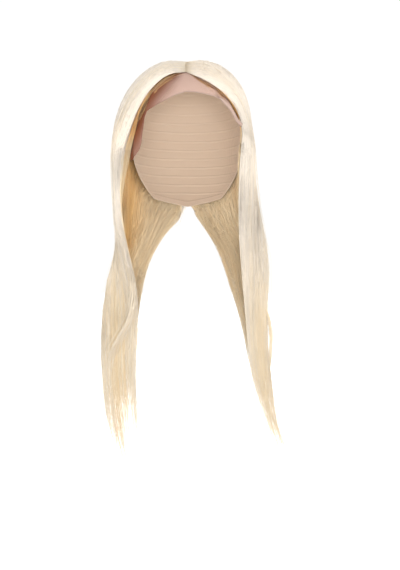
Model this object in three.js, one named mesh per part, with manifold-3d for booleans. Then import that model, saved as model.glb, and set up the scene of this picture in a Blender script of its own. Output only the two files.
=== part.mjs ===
// Lace-front wig with a centre parting and long straight hair, kept in the form it takes when worn:
// the hair is divided down the back and falls forward over both shoulders.
// Millimetres, +Z up, the face looks along -Y, and left and right are as seen from the front.
// The origin is the point inside the crown that rests on the top of the head.

import * as THREE from "three";
import { mergeVertices } from "three/addons/utils/BufferGeometryUtils.js";
import Module from "manifold-3d";

const wasm = await Module();
wasm.setup();

const { degToRad, lerp, smoothstep } = THREE.MathUtils;

// Head that the cap is made for, as a rounded form about its middle
const HEAD_BREADTH = 146;
const HEAD_LENGTH = 186;
const HEAD_DEPTH = 196;
const HEAD_FULLNESS = 2.25;
const HEAD_HALF = new THREE.Vector3(HEAD_BREADTH / 2, HEAD_LENGTH / 2, HEAD_DEPTH / 2);
const HEAD_MIDDLE = new THREE.Vector3(0, 5, -HEAD_HALF.z);

// Cap: a thin wall from the crown down to its rim, in a lace front and a plain back
const CAP_WALL = 1;
const CAP_MERIDIANS = 60;
const CAP_RINGS = 8;
const RIPPLE_START = 0.62;
const SEAM_GAP = 0.3;
const SEAM_TOP_Y = 42;
const SEAM_LEAN = degToRad(-22);

// Rim of the cap: how far each stretch of its edge lies below the crown, by the angle from the front
const RIM = [
  { place: "forehead", azimuth: 0, left: 42, right: 42 },
  { place: "forehead side", azimuth: 10, left: 47, right: 43 },
  { place: "brow", azimuth: 18, left: 54, right: 45 },
  { place: "brow side", azimuth: 26, left: 59, right: 47 },
  { place: "temple", azimuth: 36, left: 66, right: 55 },
  { place: "tab top", azimuth: 42, left: 102, right: 64 },
  { place: "tab front", azimuth: 48, left: 112, right: 76 },
  { place: "tab side", azimuth: 58, left: 119, right: 94 },
  { place: "tab tip", azimuth: 70, left: 121, right: 114 },
  { place: "ear front", azimuth: 88, left: 98, right: 98 },
  { place: "ear top", azimuth: 100, left: 96, right: 96 },
  { place: "ear back", azimuth: 118, left: 124, right: 124 },
  { place: "nape side", azimuth: 140, left: 160, right: 160 },
  { place: "nape", azimuth: 180, left: 170, right: 170 },
];

// Waves of the loose lace edge, which stands off the head where it isn't stuck down
const LACE_WAVES = [
  { place: "left brow", azimuth: -22, spread: 8, lift: 1.2 },
  { place: "left temple", azimuth: -35, spread: 5, lift: 2.4 },
  { place: "left tab", azimuth: -47, spread: 6, lift: 4.2 },
  { place: "left tab tip", azimuth: -64, spread: 6, lift: 2 },
  { place: "right brow", azimuth: 27, spread: 6, lift: 1.6 },
  { place: "right temple fold", azimuth: 41, spread: 4.5, lift: 3.6 },
  { place: "right tab", azimuth: 54, spread: 5, lift: 2 },
];

// Parting: the hair leaves the midline of the head all the way from the forehead to the nape
const PARTING_FRONT = degToRad(-36);
const PARTING_BACK = degToRad(124);
const PARTING_HALF_GAP = 1.3;
const BACK_HALF_GAP = 0.5;

// Locks, from the front edge of the face round to the nape. A section is rounder outside than inside.
const LOCK_COUNT = 8;
const LOCK_OVERLAP = 1.36;
const LOCK_SECTION = [0, 45, 90, 135, 180, 240, 300].map(degToRad);
const SPANS_ON_HEAD = 8;
const STEPS_IN_FALL = 2;
const TIP_STARTS = 0.78;
const TIP_SHARE = 0.12;

// Hair on the head: height of a lock's middle above the head, and its thickness, from root to ear
const HAIR_ON_HEAD = [
  { place: "root", way: 0, leftLift: 5.4, rightLift: 5.4, leftThick: 8.4, rightThick: 8.4 },
  { place: "parting side", way: 0.12, leftLift: 9, rightLift: 8.3, leftThick: 9.8, rightThick: 11.8 },
  { place: "crown", way: 0.3, leftLift: 9.2, rightLift: 11.2, leftThick: 14, rightThick: 11.2 },
  { place: "side", way: 0.68, leftLift: 14.4, rightLift: 7, leftThick: 16.2, rightThick: 9.6 },
  { place: "ear", way: 1, leftLift: 17.4, rightLift: 10.8, leftThick: 15, rightThick: 13.4 },
];

// Ear level, where the hair leaves the head
const EAR_DROP = { front: 112, back: 176 };
const EAR_BACK = degToRad(80);
const EAR_FRONT = { left: degToRad(-28), right: degToRad(-42) };

// Front hairline: how far it bows forward on its way to the ear, and how far it swings there and back
const HAIRLINE_BOW = { left: 2.7, right: -18 };
const HAIRLINE_SWING = { left: -4.9, right: 12.9 };

// Falls below the ears. At each station the hair lies along an arc, seen from above, from its front
// edge (from) round the outside to its back edge (to): middle x and y, radii, angles and thickness.
const FALL_LEFT = [
  { place: "jaw", front: -165, back: -204, x: 0, y: -16, rx: 89.3, ry: 88, from: -15, to: 72, thick: 9.2 },
  { place: "neck", front: -216, back: -236, x: 24, y: -23, rx: 61, ry: 66, from: -18, to: 68, thick: 8.4 },
  { place: "base", front: -266, back: -272, x: 52.4, y: -22, rx: 41.5, ry: 34, from: -72, to: 83, thick: 14 },
  { place: "bust", front: -318, back: -318, x: 65, y: -42, rx: 33, ry: 22, from: -100, to: 96, thick: 17.6 },
  { place: "ribs", front: -368, back: -368, x: 77, y: -56, rx: 23, ry: 10, from: -120, to: 120, thick: 13 },
  { place: "waist", front: -414, back: -418, x: 74, y: -62, rx: 23, ry: 8, from: -125, to: 125, thick: 12 },
  { place: "lower", front: -448, back: -466, x: 72, y: -64, rx: 20, ry: 6, from: -130, to: 130, thick: 9 },
  { place: "tips", front: -478, back: -516, x: 66, y: -65, rx: 13, ry: 4, from: -135, to: 135, thick: 6 },
];
const FALL_RIGHT = [
  { place: "jaw", front: -165, back: -204, x: 0, y: 3, rx: 86.1, ry: 70, from: -37, to: 72, thick: 15.8 },
  { place: "neck", front: -216, back: -238, x: 25, y: -6, rx: 71, ry: 48, from: -53, to: 73, thick: 13.6 },
  { place: "base", front: -266, back: -278, x: 60.2, y: -22, rx: 38.7, ry: 34, from: -75, to: 98, thick: 12 },
  { place: "bust", front: -318, back: -318, x: 75.5, y: -42, rx: 16, ry: 20, from: -96, to: 110, thick: 16 },
  { place: "ribs", front: -368, back: -368, x: 84, y: -56, rx: 13, ry: 10, from: -120, to: 120, thick: 12 },
  { place: "waist", front: -414, back: -418, x: 93, y: -62, rx: 10, ry: 8, from: -125, to: 125, thick: 10 },
  { place: "lower", front: -448, back: -464, x: 104, y: -64, rx: 5, ry: 6, from: -130, to: 130, thick: 8 },
  { place: "tips", front: -474, back: -504, x: 115, y: -65, rx: 5, ry: 4, from: -135, to: 135, thick: 5 },
];

const SIDES = {
  left: { name: "left", sign: -1, fall: FALL_LEFT, lift: "leftLift", thick: "leftThick" },
  right: { name: "right", sign: 1, fall: FALL_RIGHT, lift: "rightLift", thick: "rightThick" },
};

const HAIR_FINISH = { color: 0xe9dcc4, roughness: 0.45, metalness: 0 };
const LACE_FINISH = { color: 0xdcb8a8, roughness: 0.8, metalness: 0 };
const CAP_FINISH = { color: 0xd9c4ac, roughness: 0.9, metalness: 0 };

// A column of a table read at any value of its key column, along a smooth curve with no overshoot.
function read(rows, key, column, at) {
  const last = rows.length - 1;
  const slope = (i) => (rows[i + 1][column] - rows[i][column]) / (rows[i + 1][key] - rows[i][key]);
  const tangent = (i) => {
    if (i === 0) return slope(0);
    if (i === last) return slope(last - 1);
    const before = slope(i - 1);
    const after = slope(i);
    return before * after > 0 ? (2 * before * after) / (before + after) : 0;
  };
  let i = 0;
  while (i < last - 1 && at > rows[i + 1][key]) i += 1;
  const span = rows[i + 1][key] - rows[i][key];
  const t = THREE.MathUtils.clamp((at - rows[i][key]) / span, 0, 1);
  const start = rows[i][column] * (1 + 2 * t) + tangent(i) * span * t;
  const end = rows[i + 1][column] * (3 - 2 * t) - tangent(i + 1) * span * (1 - t);
  return start * (1 - t) ** 2 + end * t ** 2;
}

// Point of the head in a direction from its middle, raised off the surface along its normal.
function headPoint(direction, lift) {
  const axes = ["x", "y", "z"];
  const share = (axis) => Math.abs(direction[axis] / HEAD_HALF[axis]);
  const total = axes.reduce((sum, axis) => sum + share(axis) ** HEAD_FULLNESS, 0);
  const point = direction.clone().multiplyScalar(total ** (-1 / HEAD_FULLNESS));
  const slopes = axes.map((axis) => {
    const along = Math.abs(point[axis] / HEAD_HALF[axis]) ** (HEAD_FULLNESS - 1);
    return (Math.sign(point[axis]) * along) / HEAD_HALF[axis];
  });
  const normal = new THREE.Vector3(...slopes).normalize();
  return point.addScaledVector(normal, lift).add(HEAD_MIDDLE);
}

// Direction from the middle of the head to where it meets a given height, by the angle from the front.
function headDirection(azimuth, z) {
  const high = Math.abs((z - HEAD_MIDDLE.z) / HEAD_HALF.z) ** HEAD_FULLNESS;
  const wide = Math.abs(Math.sin(azimuth) / HEAD_HALF.x) ** HEAD_FULLNESS;
  const deep = Math.abs(Math.cos(azimuth) / HEAD_HALF.y) ** HEAD_FULLNESS;
  const reach = ((1 - high) / (wide + deep)) ** (1 / HEAD_FULLNESS);
  return new THREE.Vector3(Math.sin(azimuth) * reach, -Math.cos(azimuth) * reach, z - HEAD_MIDDLE.z);
}

// Direction of a point on the midline of the head, by its angle behind the crown.
function midlineDirection(angle) {
  return new THREE.Vector3(0, Math.sin(angle), Math.cos(angle));
}

// Direction part of the way from one direction to another, along the great circle between them.
function turned(from, to, share) {
  const turn = new THREE.Quaternion().setFromUnitVectors(from.clone().normalize(), to.clone().normalize());
  return from.clone().normalize().applyQuaternion(new THREE.Quaternion().slerp(turn, share));
}

// Closed solid from rings of points: the side walls, and a fan over each end about its middle.
function loft(rings) {
  const count = rings[0].length;
  const middleOf = (ring) => ring.reduce((sum, p) => sum.add(p), new THREE.Vector3()).divideScalar(count);
  const points = [...rings.flat(), middleOf(rings[0]), middleOf(rings.at(-1))];
  const firstMiddle = points.length - 2;
  const lastMiddle = points.length - 1;
  const lastRing = (rings.length - 1) * count;
  const faces = [];
  for (let j = 0; j < count; j += 1) {
    const k = (j + 1) % count;
    faces.push(firstMiddle, k, j, lastMiddle, lastRing + j, lastRing + k);
    for (let i = 0; i < rings.length - 1; i += 1) {
      const a = i * count;
      const b = a + count;
      faces.push(a + j, a + k, b + j, a + k, b + k, b + j);
    }
  }
  return solidFrom(new THREE.BufferGeometry().setFromPoints(points).setIndex(faces));
}

// Solid for joining and cutting, from a closed geometry.
function solidFrom(geometry) {
  const bare = geometry.clone();
  bare.deleteAttribute("normal");
  bare.deleteAttribute("uv");
  const merged = mergeVertices(bare, 1e-4);
  const vertProperties = merged.attributes.position.array;
  const triVerts = new Uint32Array(merged.index.array);
  const made = new wasm.Manifold(new wasm.Mesh({ numProp: 3, vertProperties, triVerts }));
  if (made.volume() > 0) return made;
  return new wasm.Manifold(new wasm.Mesh({ numProp: 3, vertProperties, triVerts: triVerts.reverse() }));
}

// Named mesh of a finished solid.
function meshOf(name, solid, finish) {
  const { vertProperties, triVerts } = solid.getMesh();
  const geometry = new THREE.BufferGeometry();
  geometry.setAttribute("position", new THREE.BufferAttribute(vertProperties, 3));
  geometry.setIndex(new THREE.BufferAttribute(triVerts, 1));
  geometry.computeVertexNormals();
  const mesh = new THREE.Mesh(geometry, new THREE.MeshStandardMaterial(finish));
  mesh.name = name;
  return mesh;
}

// How far the cap's wall stands off the head, from its waves near the rim.
function waveLift(azimuthDegrees, way) {
  const nearRim = smoothstep(way, RIPPLE_START, 1);
  const waves = LACE_WAVES.map((w) => w.lift * Math.exp(-(((azimuthDegrees - w.azimuth) / w.spread) ** 2)));
  return nearRim * waves.reduce((sum, lift) => sum + lift, 0);
}

// One meridian of the cap, as a closed strip section: down the outside to the rim and up the inside.
function capMeridian(index) {
  const azimuthDegrees = (index / CAP_MERIDIANS) * 360 - 180;
  const drop = read(RIM, "azimuth", azimuthDegrees < 0 ? "left" : "right", Math.abs(azimuthDegrees));
  const rim = headDirection(degToRad(azimuthDegrees), -drop);
  const crown = midlineDirection(0);
  const wall = (height) =>
    Array.from({ length: CAP_RINGS }, (_, i) => {
      const way = (i + 1) / CAP_RINGS;
      return headPoint(turned(crown, rim, way), height + waveLift(azimuthDegrees, way));
    });
  return { outside: wall(CAP_WALL), inside: wall(0) };
}

// Whole cap: the crown closes in a fan on each face, and the rim joins the two faces.
function capShell() {
  const meridians = Array.from({ length: CAP_MERIDIANS }, (_, i) => capMeridian(i));
  const row = 2 * CAP_RINGS;
  const points = meridians.flatMap((m) => [...m.outside, ...m.inside.toReversed()]);
  const outerCrown = points.length;
  const innerCrown = outerCrown + 1;
  points.push(headPoint(midlineDirection(0), CAP_WALL), headPoint(midlineDirection(0), 0));
  const faces = [];
  for (let i = 0; i < CAP_MERIDIANS; i += 1) {
    const a = i * row;
    const b = ((i + 1) % CAP_MERIDIANS) * row;
    faces.push(outerCrown, a, b, innerCrown, b + row - 1, a + row - 1);
    for (let j = 0; j < row - 1; j += 1) faces.push(a + j, a + j + 1, b + j, b + j, a + j + 1, b + j + 1);
  }
  return solidFrom(new THREE.BufferGeometry().setFromPoints(points).setIndex(faces));
}

// Block that covers everything on one side of the leaning seam between the lace and the back of the cap.
function seamBlock(behind) {
  const size = 2 * HEAD_LENGTH;
  const block = new THREE.BoxGeometry(size, size, size);
  block.translate(0, ((behind ? 1 : -1) * (size - SEAM_GAP)) / 2, 0);
  block.rotateX(SEAM_LEAN);
  block.translate(0, SEAM_TOP_Y, 0);
  return solidFrom(block);
}

// Ways along the head at which a strand has points, from its root to the ear.
const HEAD_WAYS = Array.from({ length: SPANS_ON_HEAD + 1 }, (_, i) => i / SPANS_ON_HEAD);

// Place of the strand that starts a given share of the way round from the face to the nape.
// Its points are those on the head, and one for each station of the fall.
function strand(side, share) {
  const { name, sign, fall } = side;
  const root = midlineDirection(lerp(PARTING_FRONT, PARTING_BACK, share)).normalize();
  const earAzimuth = sign * (Math.PI / 2 + lerp(EAR_FRONT[name], EAR_BACK, share));
  const ear = headDirection(earAzimuth, -lerp(EAR_DROP.front, EAR_DROP.back, share)).normalize();
  const forward = root.clone().cross(ear).normalize().multiplyScalar(-sign);
  const swing = (way) => HAIRLINE_SWING[name] * Math.sin(2 * Math.PI * way);
  const bow = (way) => HAIRLINE_BOW[name] * Math.sin(Math.PI * way) + swing(way);
  const fade = (1 - share) ** 3 / HEAD_HALF.y;
  const gap = lerp(PARTING_HALF_GAP, BACK_HALF_GAP, share);
  const onHead = HEAD_WAYS.map((way) => {
    const direction = turned(root, ear, way).addScaledVector(forward, bow(way) * fade);
    const point = headPoint(direction, read(HAIR_ON_HEAD, "way", side.lift, way));
    point.x += sign * gap * (1 - way);
    return point;
  });
  const inFall = fall.map((s) => {
    const angle = degToRad(lerp(s.from, s.to, share));
    const z = lerp(s.front, s.back, share);
    return new THREE.Vector3(sign * (s.x + s.rx * Math.cos(angle)), s.y + s.ry * Math.sin(angle), z);
  });
  return new THREE.CatmullRomCurve3([...onHead, ...inFall], false, "centripetal");
}

// Thickness of a lock at each of its strand's points, matching the order of the points in strand().
function thicknesses(side) {
  const onHead = HEAD_WAYS.map((way) => read(HAIR_ON_HEAD, "way", side.thick, way));
  const inFall = side.fall.map((station) => station.thick);
  return [...onHead, ...inFall].map((thick, point) => ({ point, thick }));
}

// One lock: a strip with a rounded section that follows its strand and runs out to a narrow tip.
function lock(side, number) {
  const share = (number + 0.5) / LOCK_COUNT;
  const reach = 0.5 / LOCK_COUNT;
  const [front, middle, back] = [share - reach, share, share + reach].map((s) => strand(side, s));
  const thick = thicknesses(side);
  const spans = middle.points.length - 1;
  const inFall = Array.from({ length: side.fall.length * STEPS_IN_FALL }, (_, i) => (i + 1) / STEPS_IN_FALL);
  const stops = [...HEAD_WAYS.keys(), ...inFall.map((step) => SPANS_ON_HEAD + step)];
  const rings = stops.map((stop) => {
    const t = stop / spans;
    const taper = lerp(1, TIP_SHARE, smoothstep(t, TIP_STARTS, 1));
    const across = back.getPoint(t).sub(front.getPoint(t)).multiplyScalar(LOCK_OVERLAP / 2);
    const outward = middle.getTangent(t).cross(across).normalize().multiplyScalar(side.sign);
    const halfThick = read(thick, "point", "thick", stop) / 2;
    return LOCK_SECTION.map((turn) =>
      middle
        .getPoint(t)
        .addScaledVector(across, taper * Math.cos(turn))
        .addScaledVector(outward, taper * halfThick * Math.sin(turn)),
    );
  });
  return loft(rings);
}

// Half of the hair: its locks fused into one, and cut back from the midline.
function hairHalf(side) {
  const locks = Array.from({ length: LOCK_COUNT }, (_, i) => lock(side, i));
  const fused = locks.reduce((whole, next) => whole.add(next));
  const size = 4 * HEAD_DEPTH;
  const otherHalf = new THREE.BoxGeometry(size, size, size);
  otherHalf.translate((-side.sign * (size - 2 * BACK_HALF_GAP)) / 2, 0, 0);
  return fused.subtract(solidFrom(otherHalf));
}

const shell = capShell();
const wig = new THREE.Group();
wig.add(
  meshOf("lace_front", shell.subtract(seamBlock(true)), LACE_FINISH),
  meshOf("cap_base", shell.subtract(seamBlock(false)), CAP_FINISH),
  meshOf("hair_left", hairHalf(SIDES.left), HAIR_FINISH),
  meshOf("hair_right", hairHalf(SIDES.right), HAIR_FINISH),
);

export default wig;
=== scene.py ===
# %% [markdown]
# # A lace-front wig with long straight hair
#
# The wig is a thin cap with a sheer lace front, and pale blonde hair that leaves a centre parting,
# passes over the temples and falls forward on both sides. The solids of the part are loaded first,
# because every piece made here stands for one of them and has to lie where it lies.

# %% Load the solids
import math

import bmesh
import bpy
import numpy as np
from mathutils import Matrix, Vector


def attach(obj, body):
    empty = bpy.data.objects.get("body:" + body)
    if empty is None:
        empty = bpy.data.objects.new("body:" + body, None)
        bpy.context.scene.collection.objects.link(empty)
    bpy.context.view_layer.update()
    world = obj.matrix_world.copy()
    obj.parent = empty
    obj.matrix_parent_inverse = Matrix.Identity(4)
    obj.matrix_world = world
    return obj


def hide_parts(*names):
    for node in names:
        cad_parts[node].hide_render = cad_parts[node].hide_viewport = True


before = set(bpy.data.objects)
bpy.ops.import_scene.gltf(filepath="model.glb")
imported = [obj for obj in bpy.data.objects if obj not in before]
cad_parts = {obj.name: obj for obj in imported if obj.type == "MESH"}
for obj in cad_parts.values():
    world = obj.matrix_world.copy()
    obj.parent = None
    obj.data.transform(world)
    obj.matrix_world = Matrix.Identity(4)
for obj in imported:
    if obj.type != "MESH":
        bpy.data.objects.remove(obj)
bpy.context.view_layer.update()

MM = 0.001
scene = bpy.context.scene
print("solids:", sorted(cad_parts))

# %% [markdown]
# ## The camera
#
# The photo looks straight at the wig from chest height. A level camera keeps upright lines upright,
# and a lens of about 60 mm gives the mild perspective of a studio picture.

# %% Camera
IMAGE_HEIGHT = 570
FOCAL_PIXELS = 961.5
SENSOR = 36.0
CAMERA_PLACE = (17 * MM, -1250 * MM, -278 * MM)

lens = bpy.data.cameras.new("camera")
lens.sensor_width = SENSOR
lens.lens = FOCAL_PIXELS / IMAGE_HEIGHT * SENSOR
camera = bpy.data.objects.new("camera", lens)
camera.location = CAMERA_PLACE
camera.rotation_euler = (math.radians(90), 0, 0)
scene.collection.objects.link(camera)
scene.camera = camera
print("lens in mm:", round(lens.lens, 2))

# %% [markdown]
# ## The form under the hair
#
# Cap and hair both follow the same rounded form, a box-like ellipsoid. One function gives the point of
# that form in any direction, raised off it by a lift. It works on whole arrays of directions at once,
# because thousands of strands need it. Its sizes, like those of all tables here, are in mm.

# %% Rounded form
FORM_HALF = np.array([73.0, 93.0, 98.0])
FORM_MIDDLE = np.array([0.0, 5.0, -98.0])
FORM_FULLNESS = 2.25
UP = np.array([0.0, 0.0, 1.0])


def unit(vectors):
    return vectors / np.linalg.norm(vectors, axis=-1, keepdims=True)


def form_point(direction, lift):
    total = (np.abs(direction / FORM_HALF) ** FORM_FULLNESS).sum(-1, keepdims=True)
    point = direction * total ** (-1 / FORM_FULLNESS)
    slope = np.sign(point) * np.abs(point / FORM_HALF) ** (FORM_FULLNESS - 1) / FORM_HALF
    return FORM_MIDDLE + point + unit(slope) * np.asarray(lift)[..., None]


def form_direction(azimuth, z):
    """Direction from the middle of the form to its surface at an angle from the front and a height."""
    high = np.abs((z - FORM_MIDDLE[2]) / FORM_HALF[2]) ** FORM_FULLNESS
    wide = np.abs(np.sin(azimuth) / FORM_HALF[0]) ** FORM_FULLNESS
    deep = np.abs(np.cos(azimuth) / FORM_HALF[1]) ** FORM_FULLNESS
    reach = ((1 - high) / (wide + deep)) ** (1 / FORM_FULLNESS)
    return np.stack([np.sin(azimuth) * reach, -np.cos(azimuth) * reach, z - FORM_MIDDLE[2]], -1)


def turned(start, end, way):
    """A direction turned part of the way from one to another, as along a great circle."""
    start, end = unit(start), unit(end)
    angle = np.arccos(np.clip((start * end).sum(-1, keepdims=True), -1, 1))
    return (np.sin((1 - way) * angle) * start + np.sin(way * angle) * end) / np.sin(angle)


print("top of the form:", form_point(UP, 0.0))

# %% [markdown]
# ## The hair as a sheet
#
# Before there are strands there is a map of where hair goes. Each half of the hair is a sheet, and a
# place on it has a share and a way. The share runs across, from 0 at the front edge to 1 at the nape.
# The way runs along the hair, from 0 at the root on the parting to 1 at the tip, with 0.5 at the ear,
# 0.625 beside the neck and 0.75 on the chest. The tables give the lift and thickness over the cap, and
# below the ears the arc, seen from above, that the sheet bends along at each height.

# %% Tables of the hair
SIGN = {"left": -1, "right": 1}
PARTING_FRONT = math.radians(-36)
PARTING_BACK = math.radians(124)
PARTING_HALF_GAP = 1.3
BACK_HALF_GAP = 0.5

# where the hair of the front edge and of the back edge is at ear height: angle from the side, and drop
EAR_FRONT = {"left": math.radians(-28), "right": math.radians(-42)}
EAR_BACK = math.radians(80)
EAR_DROP = (112, 176)

# how far the front edge bows forward over the temple, and swings to and fro on its way
HAIRLINE_BOW = {"left": 2.7, "right": -18}
HAIRLINE_SWING = {"left": -4.9, "right": 12.9}

# way from root to ear, lift of the middle, thickness
SPANS_ON_CAP = 8
ON_CAP = {
    "left": [(0, 5.4, 8.4), (0.12, 9, 9.8), (0.3, 9.2, 14), (0.68, 14.4, 16.2), (1, 17.4, 15)],
    "right": [(0, 5.4, 8.4), (0.12, 8.3, 11.8), (0.3, 11.2, 11.2), (0.68, 7, 9.6), (1, 10.8, 13.4)],
}

# height at the front and at the back, middle x and y, radii, first and last angle, thickness
FALL = {
    "left": [
        (-165, -204, 0, -16, 89.3, 88, -15, 72, 9.2),
        (-216, -236, 24, -23, 61, 66, -18, 68, 8.4),
        (-266, -272, 52.4, -22, 41.5, 34, -72, 83, 14),
        (-318, -318, 65, -42, 33, 22, -100, 96, 17.6),
        (-368, -368, 77, -56, 23, 10, -120, 120, 13),
        (-414, -418, 74, -62, 23, 8, -125, 125, 12),
        (-448, -466, 72, -64, 20, 6, -130, 130, 9),
        (-478, -516, 66, -65, 13, 4, -135, 135, 6),
    ],
    "right": [
        (-165, -204, 0, 3, 86.1, 70, -37, 72, 15.8),
        (-216, -238, 25, -6, 71, 48, -53, 73, 13.6),
        (-266, -278, 60.2, -22, 38.7, 34, -75, 98, 12),
        (-318, -318, 75.5, -42, 16, 20, -96, 110, 16),
        (-368, -368, 84, -56, 13, 10, -120, 120, 12),
        (-414, -418, 93, -62, 10, 8, -125, 125, 10),
        (-448, -464, 104, -64, 5, 6, -130, 130, 8),
        (-474, -504, 115, -65, 5, 4, -135, 135, 5),
    ],
}
print("rows of each half:", SPANS_ON_CAP + 1, "on the cap,", len(FALL["left"]), "in the fall")

# %% Points of each path of hair
def mix(start, end, share):
    return start + (end - start) * share


def path_points(side, shares):
    sign = SIGN[side]
    angle = mix(PARTING_FRONT, PARTING_BACK, shares)
    root = np.stack([0 * angle, np.sin(angle), np.cos(angle)], -1)
    azimuth = sign * (math.pi / 2 + mix(EAR_FRONT[side], EAR_BACK, shares))
    ear = unit(form_direction(azimuth, -mix(*EAR_DROP, shares)))
    forward = -sign * unit(np.cross(root, ear))
    fade = (1 - shares) ** 3 / FORM_HALF[1]
    gap = mix(PARTING_HALF_GAP, BACK_HALF_GAP, shares)
    way_key, lift_key, _ = np.array(ON_CAP[side]).T
    points = []
    for way in np.linspace(0, 1, SPANS_ON_CAP + 1):
        swing = HAIRLINE_SWING[side] * math.sin(2 * math.pi * way)
        bow = HAIRLINE_BOW[side] * math.sin(math.pi * way) + swing
        direction = turned(root, ear, way) + forward * (bow * fade)[:, None]
        point = form_point(direction, np.full(len(shares), np.interp(way, way_key, lift_key)))
        point[:, 0] += sign * gap * (1 - way)
        points.append(point)
    for z_front, z_back, x, y, rx, ry, first, last, _ in FALL[side]:
        turn = np.radians(mix(first, last, shares))
        height = mix(z_front, z_back, shares)
        points.append(np.stack([sign * (x + rx * np.cos(turn)), y + ry * np.sin(turn), height], -1))
    return np.stack(points, 1) * MM


# %% Smooth curves through points
def smooth_paths(points, steps):
    """Curves through rows of points. Each span counts by the root of its length, so none makes a loop."""
    ends = [2 * points[:, :1] - points[:, 1:2], points, 2 * points[:, -1:] - points[:, -2:-1]]
    p = np.concatenate(ends, 1)
    gap = np.maximum(np.linalg.norm(np.diff(p, axis=1), axis=-1, keepdims=True), 1e-9) ** 0.5
    chord = np.diff(p, axis=1) / gap
    pair = (p[:, 2:] - p[:, :-2]) / (gap[:, :-1] + gap[:, 1:])
    slope = chord[:, :-1] - pair + chord[:, 1:]
    start, end = points[:, :-1], points[:, 1:]
    leave, arrive = slope[:, :-1] * gap[:, 1:-1], slope[:, 1:] * gap[:, 1:-1]
    t = np.linspace(0, 1, steps, endpoint=False)[None, None, :, None]
    start, end, leave, arrive = (a[:, :, None] for a in (start, end, leave, arrive))
    curve = (
        start * (1 + 2 * t) * (1 - t) ** 2
        + end * (3 - 2 * t) * t**2
        + leave * t * (1 - t) ** 2
        - arrive * t**2 * (1 - t)
    )
    curve = curve.reshape(len(points), -1, 3)
    return np.concatenate([curve, points[:, -1:]], 1)


# %% Sheet of each half, with its outward direction and its thickness
SHEET_SHARES = np.linspace(-0.06, 1.02, 109)
SHEET_STEPS = 6


def hair_sheet(side):
    points = path_points(side, SHEET_SHARES)
    place = smooth_paths(points, SHEET_STEPS)
    along = np.gradient(place, axis=1)
    across = np.gradient(place, axis=0)
    outward = unit(np.cross(along, across)) * SIGN[side]
    way_key, _, thick_key = np.array(ON_CAP[side]).T
    cap_thick = np.interp(np.linspace(0, 1, SPANS_ON_CAP + 1), way_key, thick_key)
    thick = np.concatenate([cap_thick, [row[-1] for row in FALL[side]]])
    ways = np.linspace(0, 1, place.shape[1])
    half = np.interp(ways * (len(thick) - 1), np.arange(len(thick)), thick) * MM / 2
    return {"place": place, "outward": outward, "half": half}


SHEETS = {side: hair_sheet(side) for side in SIGN}
for side in SIGN:
    low, high = SHEETS[side]["place"].min((0, 1)), SHEETS[side]["place"].max((0, 1))
    print(side, "sheet from", low.round(3), "to", high.round(3))

# %% Places on a sheet
def on_sheet(side, share, way, depth):
    """Points at a share across and a way along the sheet, at a depth from -1, inside, to 1, outside."""
    sheet = SHEETS[side]
    rows, columns = sheet["place"].shape[:2]
    span = SHEET_SHARES[-1] - SHEET_SHARES[0]
    r = np.clip((share - SHEET_SHARES[0]) / span, 0, 1) * (rows - 1)
    c = np.clip(way, 0, 1) * (columns - 1)
    r0, c0 = np.minimum(r.astype(int), rows - 2), np.minimum(c.astype(int), columns - 2)
    fr, fc = (r - r0)[..., None], (c - c0)[..., None]

    def blend(field):
        near = mix(field[r0, c0], field[r0, c0 + 1], fc)
        far = mix(field[r0 + 1, c0], field[r0 + 1, c0 + 1], fc)
        return mix(near, far, fr)

    half = np.interp(way, np.linspace(0, 1, columns), sheet["half"])
    return blend(sheet["place"]) + unit(blend(sheet["outward"])) * (half * depth)[..., None]


# %% Soft changes along the hair
LEAVES_CAP = (0.12, 0.4)
EDGE_ON_CAP, EDGE_OFF_CAP = -0.9, -0.35


def smooth_step(low, high, x):
    t = np.clip((x - low) / (high - low), 0, 1)
    return t * t * (3 - 2 * t)


def bell(x, middle, spread):
    return np.exp(-(((x - middle) / spread) ** 2))


def off_cap(way):
    """0 where the edge of the hair lies down on the cap, 1 from the temple on, where it hangs free."""
    return smooth_step(*LEAVES_CAP, way)


def edge_depth(way):
    return mix(EDGE_ON_CAP, EDGE_OFF_CAP, off_cap(way))


# %% [markdown]
# ## Small helpers for pieces
#
# A finished piece keeps its object at the origin and has its place in its mesh. It rides on the one
# body of the part and stands for a solid. Materials are built from a few kinds of nodes, so that making
# and joining them is kept short too.

# %% Helpers
def piece_from(name, mesh, material, node):
    piece = bpy.data.objects.new(name, mesh)
    scene.collection.objects.link(piece)
    mesh.materials.append(material)
    mesh.polygons.foreach_set("use_smooth", np.ones(len(mesh.polygons), bool))
    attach(piece, "root")
    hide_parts(node)
    return piece


def new_material(name):
    material = bpy.data.materials.new(name)
    material.use_nodes = True
    tree = material.node_tree
    shader = tree.nodes["Principled BSDF"]
    return material, tree, shader


def add_node(tree, kind, **settings):
    """A node with its settings. A name that starts with in_ is an input of the node."""
    made = tree.nodes.new(kind)
    for key, value in settings.items():
        if key.startswith("in_"):
            made.inputs[key[3:]].default_value = value
        else:
            setattr(made, key, value)
    return made


def map_range(tree, given, wanted, interpolation="LINEAR"):
    """A node that turns one range of values into another."""
    made = add_node(tree, "ShaderNodeMapRange", interpolation_type=interpolation)
    for socket, value in zip(("From Min", "From Max", "To Min", "To Max"), (*given, *wanted)):
        made.inputs[socket].default_value = value
    return made


def join(tree, *pairs):
    for source, target in pairs:
        tree.links.new(source, target)


# %% [markdown]
# ## Hair colour and painted shade
#
# Bleached hair is a pale cream outside. Inside, its golden look comes from shade and from light that has
# passed through other hair, and this is painted into the colour. Every point of the hair carries a tone,
# from 0 for ash to 1 for deep gold, as an attribute of its mesh. The tone follows the place in the sheet:
# pale outside, a painted golden shade inside, most of all behind the ears. Tones also paint a greyer shade
# at the right ear and warmth into the parting. A noise that is stretched along the hair adds fine streaks.

# %% Tone of the hair
# ways along the sheet between which the hair enters the fall, thins to the tips, and passes the neck
ENTERS_FALL = (0.62, 0.8)
THINS_OUT = (0.86, 0.98)
REACHES_NECK, LEAVES_NECK = (0.46, 0.56), (0.74, 0.64)

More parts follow.
